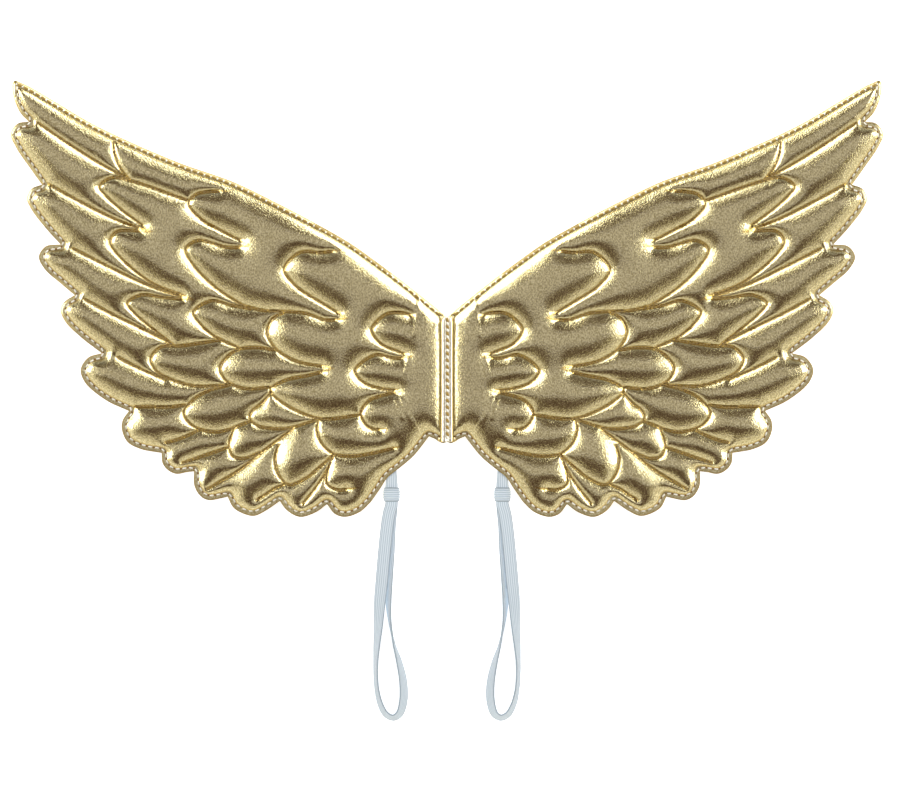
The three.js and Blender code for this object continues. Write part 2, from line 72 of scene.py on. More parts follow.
FEATHER_SEAMS = [
    # upper root, back, brow, tip, chin, belly, lower root
    [(59.4, 72.4), (72.6, 76.9), (76.9, 77.5), (79.5, 75.5), (78.1, 73.5), (74.7, 70.4), (67.4, 65.1)],
    [(67.6, 65.0), (72.4, 65.5), (75.6, 65.2), (77.1, 63.0), (75.8, 60.5), (67.8, 53.7), (58.0, 49.8)],
    [(57.8, 49.6), (64.4, 50.1), (70.1, 50.7), (73.1, 48.9), (71.5, 46.6), (68.3, 43.8), (62.8, 39.5)],
    [(52.1, 40.4), (61.0, 39.1), (65.5, 38.8), (67.8, 36.1), (66.4, 33.3), (58.7, 30.1), (49.8, 30.1)],
    [(49.8, 30.1), (53.7, 29.1), (57.5, 27.2), (60.2, 23.7), (58.7, 21.2), (53.0, 19.4), (44.7, 21.9)],
    [(48.6, 20.2), (49.2, 18.8), (49.7, 17.2), (49.8, 15.5), (48.9, 13.8), (46.2, 13.4), (42.7, 14.8)],
    [(49.5, 74.5), (54.6, 74.4), (57.5, 73.7), (59.1, 71.6), (56.4, 68.2), (51.4, 65.3), (44.7, 62.0)],
    [(44.7, 62.0), (50.0, 61.6), (57.1, 63.2), (59.8, 61.1), (57.8, 57.3), (53.0, 52.5), (46.6, 48.3)],
    [(46.6, 48.3), (42.0, 47.2), (38.1, 47.0), (32.4, 46.5), (27.9, 45.0), (25.5, 45.0), (22.6, 45.4)],
    [(45.0, 47.6), (49.5, 48.4), (53.9, 49.4), (58.0, 46.8), (56.2, 43.8), (53.0, 41.2), (47.7, 38.7)],
    [(39.5, 38.1), (43.2, 38.7), (48.2, 38.1), (51.9, 34.2), (50.9, 31.5), (46.6, 29.4), (40.4, 29.6)],
    [(40.2, 28.5), (42.2, 26.1), (44.5, 24.3), (45.1, 22.6), (43.4, 20.9), (37.0, 20.2), (29.9, 22.1)],
    [(23.5, 61.1), (28.5, 60.4), (33.6, 60.4), (37.2, 56.6), (34.7, 52.9), (29.0, 49.1), (22.6, 45.3)],
    [(37.4, 46.7), (39.0, 45.9), (40.2, 44.8), (41.1, 42.0), (39.3, 38.6), (34.7, 35.7), (25.8, 34.0)],
    [(26.0, 33.9), (31.3, 32.4), (37.0, 31.2), (40.3, 29.0), (37.9, 26.3), (29.0, 22.5), (19.9, 23.3)],
    [(6.6, 45.3), (10.0, 46.6), (13.9, 46.3), (17.2, 42.7), (15.3, 39.7), (11.2, 37.8), (8.0, 36.6)],
    [(8.4, 36.4), (12.3, 36.3), (16.4, 37.0), (21.0, 33.4), (19.2, 30.8), (14.8, 29.3), (9.8, 28.8)],
    [(10.0, 28.8), (14.2, 27.9), (18.0, 26.4), (19.7, 23.5), (18.3, 20.8), (16.2, 20.0), (13.5, 20.2)],
    [(29.2, 22.3), (29.7, 19.9), (28.8, 17.0), (26.0, 14.5), (22.1, 13.9), (16.4, 14.7), (10.3, 16.2)],
    [(38.6, 16.2), (39.3, 13.0), (38.5, 9.6), (36.1, 7.4), (32.2, 8.9), (28.5, 11.9), (26.0, 14.2)],
    [(25.8, 14.2), (26.7, 12.3), (27.2, 10.5), (27.4, 7.5), (24.9, 6.2), (22.5, 6.4), (20.1, 6.8)],
]
NOTCH_SEAMS = [
    # rim end, first third, second third, inner end
    [(93.6, 90.1), (87.2, 85.7), (79.7, 81.0), (72.6, 77.1)],
    [(76.3, 85.4), (76.1, 83.3), (75.1, 80.4), (72.8, 77.2)],
    [(91.1, 76.1), (84.9, 72.6), (76.2, 68.2), (67.8, 65.1)],
    [(85.6, 61.4), (77.0, 57.0), (68.0, 52.8), (57.8, 49.5)],
    [(82.9, 49.8), (76.9, 46.5), (70.1, 43.2), (62.8, 39.4)],
    [(75.3, 36.5), (71.9, 34.7), (68.3, 33.0), (64.4, 31.3)],
    [(71.5, 25.2), (67.8, 25.2), (63.7, 25.1), (60.0, 25.6)],
    [(64.4, 17.0), (61.9, 17.6), (59.3, 18.6), (56.6, 19.9)],
    [(60.5, 12.4), (57.1, 13.5), (53.5, 14.7), (49.8, 16.0)],
    [(54.8, 6.4), (47.5, 10.7), (41.4, 15.5), (35.2, 20.1)],
    [(43.4, 3.9), (41.4, 5.2), (39.4, 6.5), (37.2, 7.4)],
    [(32.9, 3.0), (30.2, 6.4), (28.2, 9.3), (26.3, 13.2)],
]
PULL_FOLDS = [
    [(6.9, 46.0), (7.4, 41.5)], [(8.9, 36.4), (9.5, 33.0)], [(10.6, 27.2), (8.6, 23.0), (6.2, 19.4)],
    [(6.4, 50.4), (6.4, 47.4)], [(11.6, 27.0), (10.2, 22.6)],
]
PATTERN_STEP = 0.0002

wing_low, wing_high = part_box("wing_left")
widest_share = max(place[0] for row in FEATHER_ENDS for place in row) / 100
half_span = -wing_low.x / widest_share
wing_height = wing_high.y - wing_low.y


def on_wing(places):
    shares = np.array(places) / 100
    return np.column_stack([-shares[:, 0] * half_span, wing_low.y + shares[:, 1] * wing_height])


def smooth_line(places, step):
    # Centripetal Catmull-Rom through the places, then even steps along it
    knots = np.vstack([2 * places[0] - places[1], places, 2 * places[-1] - places[-2]])
    gaps = np.sqrt(np.linalg.norm(np.diff(knots, axis=0), axis=1))
    fine = []
    for i in range(1, len(knots) - 2):
        t0, t1, t2, t3 = np.concatenate([[0], np.cumsum(gaps[i - 1:i + 2])])
        t = np.linspace(t1, t2, 24, endpoint=False)[:, None]
        a1 = (t1 - t) / (t1 - t0) * knots[i - 1] + (t - t0) / (t1 - t0) * knots[i]
        a2 = (t2 - t) / (t2 - t1) * knots[i] + (t - t1) / (t2 - t1) * knots[i + 1]
        a3 = (t3 - t) / (t3 - t2) * knots[i + 1] + (t - t2) / (t3 - t2) * knots[i + 2]
        b1 = (t2 - t) / (t2 - t0) * a1 + (t - t0) / (t2 - t0) * a2
        b2 = (t3 - t) / (t3 - t1) * a2 + (t - t1) / (t3 - t1) * a3
        fine.append((t2 - t) / (t2 - t1) * b1 + (t - t1) / (t2 - t1) * b2)
    fine.append(places[-1:])
    return even_steps(np.vstack(fine), step)


def even_steps(line, step):
    run = np.concatenate([[0], np.cumsum(np.linalg.norm(np.diff(line, axis=0), axis=1))])
    stops = np.linspace(0, run[-1], max(2, round(run[-1] / step)) + 1)
    return np.column_stack([np.interp(stops, run, line[:, axis]) for axis in range(line.shape[1])])


top_edge = smooth_line(on_wing(TOP_EDGE), PATTERN_STEP)
feather_rims = []
for row, next_row in zip(FEATHER_ENDS[:-1], FEATHER_ENDS[1:]):
    feather_rims.append(smooth_line(on_wing(row + next_row[:1]), PATTERN_STEP))
rim_line = np.vstack([top_edge[::-1]] + [rim[1:] for rim in feather_rims])
seam_lines = [smooth_line(on_wing(row), PATTERN_STEP) for row in FEATHER_SEAMS + NOTCH_SEAMS]

# Wing. Coated gold cloth over thin foam, sewn through along every seam and pinched flat at the
# rim, so each feather stands up as a pad. Both faces are one closed body, made once for the
# left and mirrored for the right. The middle arches over the elastic behind it.
CELL = 0.00075
ARCH_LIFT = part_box("spine_band")[0].z - 0.0025
ARCH_INNER = 0.060
ARCH_OUTER = 0.115
EDGE_WALL = 0.0006
RIM_WALL = 0.0013
RIM_ROUND = 0.0006
RIM_WIDTH = 0.0030
SEAM_WALL = 0.0018
CREASE_RISE = 0.0007
CREASE_WIDTH = 0.0008
RIM_CREASE_RISE = 0.0005
CROWN_RISE = 0.0038
CROWN_KNEE = 0.20
CROWN_FALL = 1.7
SEAM_SHOULDER = 0.0125
SEAM_MEETS = 0.0025
SEAM_TAPER = 0.0065
ROOT_TAPER = 0.0045
ROOT_REACH = 0.036
END_FADE = 0.72
CREASE_FADE = 0.5
SHADE_LINE_FADE = 0.0009
TOP_SHOULDER = 0.0180
BAND_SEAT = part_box("spine_band")[1].x + 0.0003
BACK_DIP = 0.0005
RIM_SHOULDER = 0.0125
SPINE_SHOULDER = 0.0120
SPINE_START = 0.08
SPINE_SLIT = 0.00015
SEAT_SLIT = 0.00003
SEAT_STEP = 0.0015
RIM_CLEAR = 0.42
SNAP_REACH = 0.5
EDGE_DIP = 0.3
BACK_ROUND = 3
STITCH_INSET = 0.0022
TOP_INSET = 0.0015
TOP_ROLL = 0.0009
TOP_ROLL_FADE = 8
STITCH_DIP = 0.00012
STITCH_SOFT = 0.0006
PUCKER = 0.00018
PUCKER_TURN = 2 * math.pi / 0.0029
PUCKER_DRIFT = 2 * math.pi / 0.019
PUCKER_FADE = 2 * math.pi / 0.031
PUCKER_WANDER = 2.2
PUCKER_STEADY = 0.6
CRUMPLE = 0.00025
CRUMPLE_TURN = 110
FINE_CRUMPLE = 0.3
FINE_TURN = 2.7
RIDGE_PASSES = 36
RIDGE_PULL = 0.6
RIDGE_START = 0.0020
RIDGE_REACH = 0.0025
FOLD_RISE = 0.00045
FOLD_WIDTH = 0.0008
RIM_SHADE_LINE_WIDEN = 0.0005
EDGE_SHADE_LINE_WIDEN = 0.0004
MM = 1000


def nearest_on(line, places, sunk=None):
    # Nearest point of a line, and how far it is; a sunk point counts as that much further off
    tree = KDTree(len(line))
    for index, place in enumerate(line):
        tree.insert((place[0], place[1], 0 if sunk is None else sunk[index]), index)
    tree.balance()
    found = [tree.find((x, y, 0)) for x, y in places]
    return np.array([hit[1] for hit in found]), np.array([hit[2] for hit in found])


def inside(outline, places):
    x, y = places[:, 0], places[:, 1]
    within = np.zeros(len(places), bool)
    for (x0, y0), (x1, y1) in zip(outline, np.roll(outline, -1, axis=0)):
        if y0 != y1:
            within ^= ((y0 > y) != (y1 > y)) & (x < x0 + (y - y0) / (y1 - y0) * (x1 - x0))
    return within


def arch(x):
    share = np.clip((ARCH_OUTER - np.abs(x)) / (ARCH_OUTER - ARCH_INNER), 0, 1)
    return ARCH_LIFT * share * share * (3 - 2 * share)


def crowned(share):
    # Straight up to the knee, then ever flatter to the top
    share = np.clip(share, 0, 1)
    left = np.minimum((1 - share) / (1 - CROWN_KNEE), 1)
    round_part = (1 - CROWN_KNEE) / (CROWN_FALL + 1)
    climbed = np.minimum(share, CROWN_KNEE) + round_part * (1 - left ** (CROWN_FALL + 1))
    return climbed / (CROWN_KNEE + round_part)


def quarter_round(share):
    return np.sqrt(1 - (1 - np.clip(share, 0, 1)) ** 2)


spine_line = np.array([(-SPINE_SLIT, y) for y in np.arange(rim_line[-1][1], rim_line[0][1], PATTERN_STEP)])
outline = np.vstack([rim_line, spine_line[1:]])
outline[:, 0] = np.minimum(outline[:, 0], -SPINE_SLIT)

bm = bmesh.new()
cells = math.ceil(max(half_span, wing_height) / CELL) + 2
bmesh.ops.create_grid(bm, x_segments=cells, y_segments=cells, size=cells * CELL / 2)
corner = Vector((-cells * CELL / 2 + CELL, wing_low.y + cells * CELL / 2 - CELL, 0))
bmesh.ops.translate(bm, verts=bm.verts, vec=corner)
places = np.array([v.co.xy for v in bm.verts])
stays = inside(even_steps(np.vstack([outline, outline[:1]]), CELL)[:-1], places)
near_rim = nearest_on(outline, places[stays])[1] < RIM_CLEAR * CELL
stays[np.flatnonzero(stays)[near_rim]] = False
bmesh.ops.delete(bm, geom=[v for v, stay in zip(list(bm.verts), stays) if not stay], context="VERTS")
pinched = [v for v in bm.verts if not v.link_faces]
while pinched:
    bmesh.ops.delete(bm, geom=pinched, context="VERTS")
    pinched = [v for v in bm.verts if sum(e.is_boundary for e in v.link_edges) > 2 or not v.link_faces]

places = np.array([v.co.xy for v in bm.verts])
on_rim = np.array([v.is_boundary for v in bm.verts])
places[on_rim] = outline[nearest_on(outline, places[on_rim])[0]]
seam_places = np.vstack(seam_lines)
seam_run = np.concatenate([np.arange(len(line)) * PATTERN_STEP for line in seam_lines])


def end_meets(place, own):
    # The line that an end runs into, and where: the rim, or another seam, but not at its end
    for other in [rim_line] + [line for line in seam_lines if line is not own]:
        gaps = np.linalg.norm(other - place, axis=1)
        nearest = gaps.argmin()
        from_end = min(nearest, len(other) - 1 - nearest) * PATTERN_STEP
        if gaps[nearest] < SEAM_MEETS and (other is rim_line or from_end > SEAM_MEETS):
            return other, nearest
    return None


# A free end fades out over SEAM_TAPER, or faster at the roots of the feathers next to the spine,
# and a seam that runs into a fading one starts as faded. A notch seam keeps its depth right up to
# the rim.
line_fades = [np.zeros(len(line)) for line in seam_lines]
for meeting in (False, True):
    for index, (line, line_fade) in enumerate(zip(seam_lines, line_fades)):
        run = np.arange(len(line)) * PATTERN_STEP
        for end, away in ((line[0], run), (line[-1], run[::-1])):
            met = end_meets(end, line)
            at_rim = met and met[0] is rim_line or away is run and index >= len(FEATHER_SEAMS)
            if at_rim or meeting != (met is not None):
                continue
            at_end = END_FADE
            taper = ROOT_TAPER if -end[0] < ROOT_REACH else SEAM_TAPER
            if met:
                at_end = next(f[met[1]] for other, f in zip(seam_lines, line_fades) if other is met[0])
            np.maximum(line_fade, np.clip(at_end - away * END_FADE / taper, 0, 1), out=line_fade)
seam_fade = np.concatenate(line_fades)
seam_index, seam_gap = nearest_on(seam_places, places)
to_seam = np.abs(seam_places[seam_index] - places).max(axis=1)
snaps = (seam_gap ** 2 < SNAP_REACH * CELL * to_seam) & ~on_rim
places[snaps] = seam_places[seam_index[snaps]]
seam_gap[snaps] = 0
from_seat = (-places[:, 0] - BAND_SEAT) / CELL
outer_column = (np.abs(from_seat) <= 0.5) & ~on_rim
inner_column = (np.abs(from_seat + 1) < 0.5) & ~on_rim
places[outer_column, 0] = -BAND_SEAT - SEAT_SLIT
places[inner_column, 0] = -BAND_SEAT + SEAT_SLIT

rim_index, rim_gap = nearest_on(rim_line, places)
top_share = np.clip(1 - rim_index / len(top_edge), 0, 1)
on_top = rim_index < len(top_edge)
rim_shoulder = np.where(on_top, TOP_SHOULDER * (1 - top_share) + RIM_SHOULDER * top_share, RIM_SHOULDER)
rim_share = (rim_gap - RIM_WIDTH) / rim_shoulder
shade_line_gap = seam_gap + SHADE_LINE_FADE * seam_fade[seam_index]
seam_index, seam_share = nearest_on(seam_places, places, seam_fade * SEAM_SHOULDER)
seam_share /= SEAM_SHOULDER
fade = seam_fade[seam_index]
seam_gap = np.linalg.norm(seam_places[seam_index] - places, axis=1)
spine_share = SPINE_START + (1 - SPINE_START) * (-places[:, 0] - BAND_SEAT) / SPINE_SHOULDER
spine_share[-places[:, 0] < BAND_SEAT] = 0
share = np.minimum(np.minimum(rim_share, seam_share), spine_share)
run = seam_run[seam_index]
pucker = np.sin(run * PUCKER_TURN + PUCKER_WANDER * np.sin(run * PUCKER_DRIFT))
pucker *= PUCKER_STEADY + (1 - PUCKER_STEADY) * np.sin(run * PUCKER_FADE)
slope = np.clip(seam_share, 0, 1)
rise = crowned(share)
front = RIM_WALL + (SEAM_WALL - RIM_WALL) * np.clip((rim_gap - RIM_WIDTH) / RIM_SHOULDER, 0, 1)
crease = (1 - quarter_round(seam_gap / CREASE_WIDTH)) * (1 - np.clip(fade / CREASE_FADE, 0, 1))
roll = np.where(on_top, np.clip(top_share * TOP_ROLL_FADE, 0, 1), 0)
rim_pinch = (1 - quarter_round((rim_gap - RIM_WIDTH) / CREASE_WIDTH)) * (1 - roll)
pinch = np.maximum(crease, rim_pinch)
pinch[-places[:, 0] < BAND_SEAT] = 1
front += CROWN_RISE * rise + RIM_CREASE_RISE * (1 - pinch)
front -= (CREASE_RISE - RIM_CREASE_RISE) * crease * ((rim_gap > RIM_WIDTH) & (-places[:, 0] > BAND_SEAT))
front += (CREASE_RISE - RIM_CREASE_RISE) * quarter_round((rim_gap - RIM_WIDTH) / RIM_SHOULDER)
front += PUCKER * pucker * 4 * slope * (1 - slope) * rise
front -= TOP_ROLL * roll * np.clip(1 - rim_gap / RIM_WIDTH, 0, 1)
front -= STITCH_DIP * np.exp(-((rim_gap - STITCH_INSET) / STITCH_SOFT) ** 2)
front -= (RIM_WALL - EDGE_WALL) * (1 - quarter_round(rim_gap / RIM_ROUND)) * EDGE_DIP
for size, turn in ((CRUMPLE, CRUMPLE_TURN), (CRUMPLE * FINE_CRUMPLE, CRUMPLE_TURN * FINE_TURN)):
    front += [size * noise.noise((x * turn, y * turn, 0)) * r for (x, y), r in zip(places, rise)]
front[inner_column] += SEAT_STEP
back = BACK_DIP * (1 - quarter_round(BACK_ROUND * share))

links = np.array([[v.index for v in e.verts] for e in bm.edges])
pad_gap = np.minimum.reduce([seam_gap, rim_gap - RIM_WIDTH, -places[:, 0] - BAND_SEAT])
loose = np.clip((pad_gap - RIDGE_START) / RIDGE_REACH, 0, 1)
count = np.bincount(links.ravel(), minlength=len(places))
for _ in range(RIDGE_PASSES):
    total = np.bincount(links[:, 0], front[links[:, 1]], len(places))
    total += np.bincount(links[:, 1], front[links[:, 0]], len(places))
    front += loose * RIDGE_PULL * (total / count - front)

fold_places = np.vstack([smooth_line(on_wing(row), PATTERN_STEP) for row in PULL_FOLDS])
front += FOLD_RISE * np.exp(-(nearest_on(fold_places, places)[1] / FOLD_WIDTH) ** 2)

layers = {name: bm.verts.layers.float.new(name) for name in ("front", "back", "seam_gap", "rim_gap")}
lift = arch(places[:, 0])
# Distance to the nearest dark ochre line, along the seams, the rim crease and the outer edge. The material
# paints these lines as painted shade and gold-on-gold reflection of the creases and the edge.
gap_to_shade_line = np.minimum.reduce([
    shade_line_gap, np.abs(rim_gap - RIM_WIDTH) + RIM_SHADE_LINE_WIDEN, rim_gap + EDGE_SHADE_LINE_WIDEN])
rows = zip(bm.verts, places, lift + front, lift + back, gap_to_shade_line, rim_gap)
for v, place, over, under, gap, rim in rows:
    v.co.xy = place
    v[layers["front"]] = over
    v[layers["back"]] = under
    v[layers["seam_gap"]] = gap * MM
    v[layers["rim_gap"]] = rim * MM
raised = bmesh.ops.extrude_face_region(bm, geom=bm.faces[:])["geom"]
for v in bm.verts:
    v.co.z = v[layers["back"]]
for v in raised:
    if isinstance(v, bmesh.types.BMVert):
        v.co.z = v[layers["front"]]
bmesh.ops.recalc_face_normals(bm, faces=bm.faces[:])
bm.verts.index_update()
cut_side = {f for f in bm.faces if 0 < sum(v.index < len(places) for v in f.verts) < len(f.verts)}
for e in bm.edges:
    at_seat = all(abs(-v.co.x - BAND_SEAT) < 2 * SEAT_SLIT for v in e.verts)
    along_seat = at_seat and abs(e.verts[0].co.x - e.verts[1].co.x) < SEAT_SLIT
    e.smooth = sum(f in cut_side for f in e.link_faces) != 1 and not along_seat


def finished(name, shape, finish, slot_name, *nodes):
    mesh = bpy.data.meshes.new(name)
    shape.to_mesh(mesh)
    shape.free()
    return placed(name, mesh, finish, slot_name, *nodes)


def placed(name, mesh, finish, slot_name, *nodes):
    mesh.shade_smooth()
    mesh.materials.append(finish)
    piece = bpy.data.objects.new(name, mesh)
    bpy.context.collection.objects.link(piece)
    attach(piece, "root")
    if nodes:
        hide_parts(*nodes)
    return piece


def turned_over(shape):
    twin = shape.copy()
    bmesh.ops.scale(twin, vec=(-1, 1, 1), verts=twin.verts[:])
    bmesh.ops.reverse_faces(twin, faces=twin.faces[:])
    return twin


def coated_cloth(name, shade, light, roughness):
    cloth = bpy.data.materials.new(name)
    cloth.use_nodes = True
    nodes = cloth.node_tree.nodes
    join = cloth.node_tree.links.new
    skin = nodes["Principled BSDF"]
    skin.inputs["Metallic"].default_value = 1.0
    skin.inputs["Coat Weight"].default_value = 1.0
    skin.inputs["Coat Roughness"].default_value = 0.16
    skin.inputs["Coat IOR"].default_value = 1.8
    where = nodes.new("ShaderNodeTexCoord")
    streak = nodes.new("ShaderNodeMapping")
    streak.inputs["Scale"].default_value = (1.0, 0.62, 1.0)
    join(where.outputs["Object"], streak.inputs["Vector"])
    grain = nodes.new("ShaderNodeTexNoise")
    grain.inputs["Scale"].default_value = 1650
    grain.inputs["Detail"].default_value = 3
    join(streak.outputs["Vector"], grain.inputs["Vector"])
    tone = nodes.new("ShaderNodeValToRGB")
    tone.color_ramp.elements[0].position = 0.35
    tone.color_ramp.elements[0].color = shade
    tone.color_ramp.elements[1].position = 0.65
    tone.color_ramp.elements[1].color = light
    join(grain.outputs["Fac"], tone.inputs["Fac"])
    # Painted shade: near the seam_gap lines the colour turns a dark ochre. It stands in for the shade and
    # gold-on-gold reflection in the creases and at the edges.
    gap_read = nodes.new("ShaderNodeAttribute")
    gap_read.attribute_name = "seam_gap"
    shade_line_mask = nodes.new("ShaderNodeMapRange")
    shade_line_mask.inputs["From Min"].default_value = 0.4
    shade_line_mask.inputs["From Max"].default_value = 1.2
    shade_line_mask.inputs["To Min"].default_value = 0.95
    shade_line_mask.inputs["To Max"].default_value = 0.0
    join(gap_read.outputs["Fac"], shade_line_mask.inputs["Value"])
    shade_line_tint = nodes.new("ShaderNodeMix")
    shade_line_tint.data_type = "RGBA"
    shade_line_tint.inputs["B"].default_value = (0.58, 0.40, 0.08, 1)
    join(shade_line_mask.outputs["Result"], shade_line_tint.inputs["Factor"])
    join(tone.outputs["Color"], shade_line_tint.inputs["A"])
    join(shade_line_tint.outputs["Result"], skin.inputs["Base Color"])
    rim_read = nodes.new("ShaderNodeAttribute")
    rim_read.attribute_name = "rim_gap"
    rim_rough = nodes.new("ShaderNodeMapRange")
    rim_rough.inputs["From Min"].default_value = 2.2
    rim_rough.inputs["From Max"].default_value = 3.0
    rim_rough.inputs["To Min"].default_value = 0.4
    rim_rough.inputs["To Max"].default_value = roughness
    join(rim_read.outputs["Fac"], rim_rough.inputs["Value"])
    join(rim_rough.outputs["Result"], skin.inputs["Roughness"])
    emboss = nodes.new("ShaderNodeBump")
    emboss.inputs["Strength"].default_value = 1.0
    emboss.inputs["Distance"].default_value = 0.00017
    join(grain.outputs["Fac"], emboss.inputs["Height"])
    join(emboss.outputs["Normal"], skin.inputs["Normal"])
    return cloth


gold = coated_cloth("gold_coated_cloth", (0.46, 0.38, 0.155, 1), (0.82, 0.74, 0.43, 1), 0.22)
right_shape = turned_over(bm)
front_places = places.copy()
front_height = lift + front
wing_left = finished("wing_left_skin", bm, gold, "gold_leather", "wing_left")
wing_right = finished("wing_right_skin", right_shape, gold, "gold_leather", "wing_right")

# Rim stitching. One row of pale thread runs round each wing just inside its rim and holds the pinched edge;
# the needle holes between the stitches are dark beads, painted shade of the holes.
STITCH_PITCH = 0.0034
STITCH_CLEAR = 0.97
BEAD_LIFT = 0.2
RIM_BEADS = [
    # share of the pitch, size, tone from thread to the painted shade of a needle hole
    (0.36, (0.0023, 0.0009, 0.0007), 0), (0.86, (0.0015, 0.0010, 0.0003), 1),
]
TOP_BEADS = [
    # share of the pitch, size, tone
    (0.40, (0.0031, 0.0015, 0.0008), 0.5), (0.90, (0.0009, 0.0010, 0.0009), 0),
]


def stitch_row(line, ground, slant, beads=RIM_BEADS):
    # The beads of a stitch and its needle hole, once a pitch: place, heading, size, tone
    stops = even_steps(line, STITCH_PITCH)
    heights = ground(stops)
    row = []
    for i in range(len(stops) - 1):
        ahead = stops[i + 1] - stops[i]
        heading = math.atan2(ahead[1], ahead[0]) + math.radians(slant)
        for share, size, tone in beads:
            x, y = stops[i] + ahead * share
            row.append(((x, y, heights[i] + size[2] * BEAD_LIFT), heading, size, tone))
    return row


def other_side(row):
    return [((-x, y, z), math.pi - heading, size, tone) for (x, y, z), heading, size, tone in row]


def sewn(name, row, slot_name):
    # Every stitch is a copy of one bead, joined in a single mesh
    bead = bmesh.new()
    bmesh.ops.create_uvsphere(bead, u_segments=8, v_segments=5, radius=0.5)
    corners = np.array([v.co for v in bead.verts])
    sides = [[v.index for v in f.verts] for f in bead.faces]
    bead.free()
    places, faces = [], []
    for i, (place, heading, size, tone) in enumerate(row):
        turn = np.array(Matrix.Rotation(heading, 3, "Z"))
        places.append((corners * size) @ turn.T + place)
        faces += [[index + i * len(corners) for index in side] for side in sides]
    mesh = bpy.data.meshes.new(name)
    mesh.from_pydata(np.vstack(places).tolist(), [], faces)
    tones = mesh.attributes.new("hole", "FLOAT", "POINT")
    tones.data.foreach_set("value", np.repeat([float(spot[3]) for spot in row], len(corners)))
    return placed(name, mesh, thread, slot_name)


def wing_ground(places):
    return front_height[nearest_on(front_places, places)[0]]


inset_by = np.where(np.arange(len(rim_line)) < len(top_edge), TOP_INSET, STITCH_INSET)[:, None]
inset = rim_line + inset_by * np.column_stack([
    -np.gradient(rim_line[:, 1]), np.gradient(rim_line[:, 0])]) / PATTERN_STEP
inset = inset[nearest_on(rim_line, inset)[1] > STITCH_CLEAR * inset_by[:, 0]]
inset = inset[inset[:, 0] < -BAND_SEAT]
thread = bpy.data.materials.new("pale_thread")
thread.use_nodes = True
nodes = thread.node_tree.nodes
join = thread.node_tree.links.new
skin = nodes["Principled BSDF"]
skin.inputs["Roughness"].default_value = 0.4
skin.inputs["Sheen Weight"].default_value = 0.2
hole_shade_read = nodes.new("ShaderNodeAttribute")
hole_shade_read.attribute_name = "hole"
# Thread tones: pale thread, ochre, and the dark brown of a needle hole, which is painted shade.
tones = nodes.new("ShaderNodeValToRGB")
tones.color_ramp.elements[0].color = (0.95, 0.93, 0.82, 1)
tones.color_ramp.elements[1].color = (0.24, 0.125, 0.02, 1)
tones.color_ramp.elements.new(0.5).color = (0.36, 0.235, 0.045, 1)
join(hole_shade_read.outputs["Fac"], tones.inputs["Fac"])
join(tones.outputs["Color"], skin.inputs["Base Color"])

on_top = nearest_on(rim_line, inset)[0] < len(top_edge)
rim_row = stitch_row(inset[on_top], wing_ground, 0, TOP_BEADS) + stitch_row(inset[~on_top], wing_ground, 0)
sewn("rim_stitches_left", rim_row, "gold_leather")
sewn("rim_stitches_right", other_side(rim_row), "gold_leather")

# Quilting stitches. The same lockstitch, much finer, lies at the bottom of every seam between the feathers,
# in ochre thread that is nearly lost in the crease; its beads are toned most of the way to the dark
# needle-hole colour, painted shade of the holes.
QUILT_BEADS = [
    # share of the pitch, size, tone
    (0.25, (0.0012, 0.00036, 0.0006), 0.8), (0.75, (0.0012, 0.00036, 0.0006), 0.8),
]
quilt_row = []
for line, line_fade in zip(seam_lines, line_fades):
    quilt_row += stitch_row(line[line_fade < CREASE_FADE], wing_ground, 0, QUILT_BEADS)
sewn("quilt_stitches_left", quilt_row, "gold_leather")
sewn("quilt_stitches_right", other_side(quilt_row), "gold_leather")

# Spine band. A narrow strip of the gold cloth, folded over a cord and sewn down the middle,
# that joins the two wings.
BAND_END = 0.004
BAND_STEP = 0.0004
BAND_GROOVE = 0.0007
BAND_TUCK = 0.0016
BAND_FOLD = 0.45
BAND_FOLD_DIP = 0.0002
BAND_CROWN = 0.0019
BAND_CELLS = 28
BAND_SQUARE = 2.4
BAND_NARROW = 0.45
GROOVE_WIDTH = 0.2
FOLD_LINE_WIDTH = 0.08
TUCK_START = 0.6
SPINE_ROW_SIDE = 0.0003
SPINE_ROW_INSET = 0.001
SPINE_ROW_LIFT = 0.0002
SPINE_SLANT = 30
SPINE_BEADS = [
    # share of the pitch, size, tone
    (0.36, (0.0021, 0.0012, 0.0009), 0), (0.86, (0.0027, 0.0016, 0.0009), 0.5),
]
NO_RIM = 10
band_low, band_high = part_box("spine_band")
band_half = band_high.x
pale_gold = coated_cloth("pale_gold_cloth", (0.62, 0.57, 0.42, 1), (0.90, 0.87, 0.74, 1), 0.3)

bm = bmesh.new()
rows = round((band_high.y - band_low.y) / BAND_STEP)
bmesh.ops.create_grid(bm, x_segments=BAND_CELLS, y_segments=rows, size=1)
edge_tone = bm.verts.layers.float.new("seam_gap")
inner_tone = bm.verts.layers.float.new("rim_gap")
for v in bm.verts:
    across, up = v.co.x, (v.co.y + 1) / 2
    y = band_low.y + up * (band_high.y - band_low.y)
    end = min(1, (band_high.y - y) / BAND_END)
    half = band_half * (1 - BAND_NARROW + BAND_NARROW * math.sqrt(1 - (1 - end) ** 2))
    crown = BAND_CROWN * math.sqrt(1 - abs(across) ** BAND_SQUARE)
    crown -= BAND_GROOVE * math.exp(-(across / GROOVE_WIDTH) ** 2)
    crown -= BAND_FOLD_DIP * math.exp(-((across - BAND_FOLD) / FOLD_LINE_WIDTH) ** 2)
    # Distance from the band's side. The material paints an ochre line there, painted shade and gold-on-gold
    # reflection of the gap to the wing.
    v[edge_tone] = (1 - abs(across)) * band_half * MM
    v[inner_tone] = NO_RIM
    v.co = (across * half, y, band_high.z - BAND_CROWN + crown)
raised = set(bmesh.ops.extrude_face_region(bm, geom=bm.faces[:])["geom"])
for v in bm.verts:
    if v not in raised:
        v.co.z = band_low.z + BAND_TUCK * max(0, abs(v.co.x) / band_half - TUCK_START)
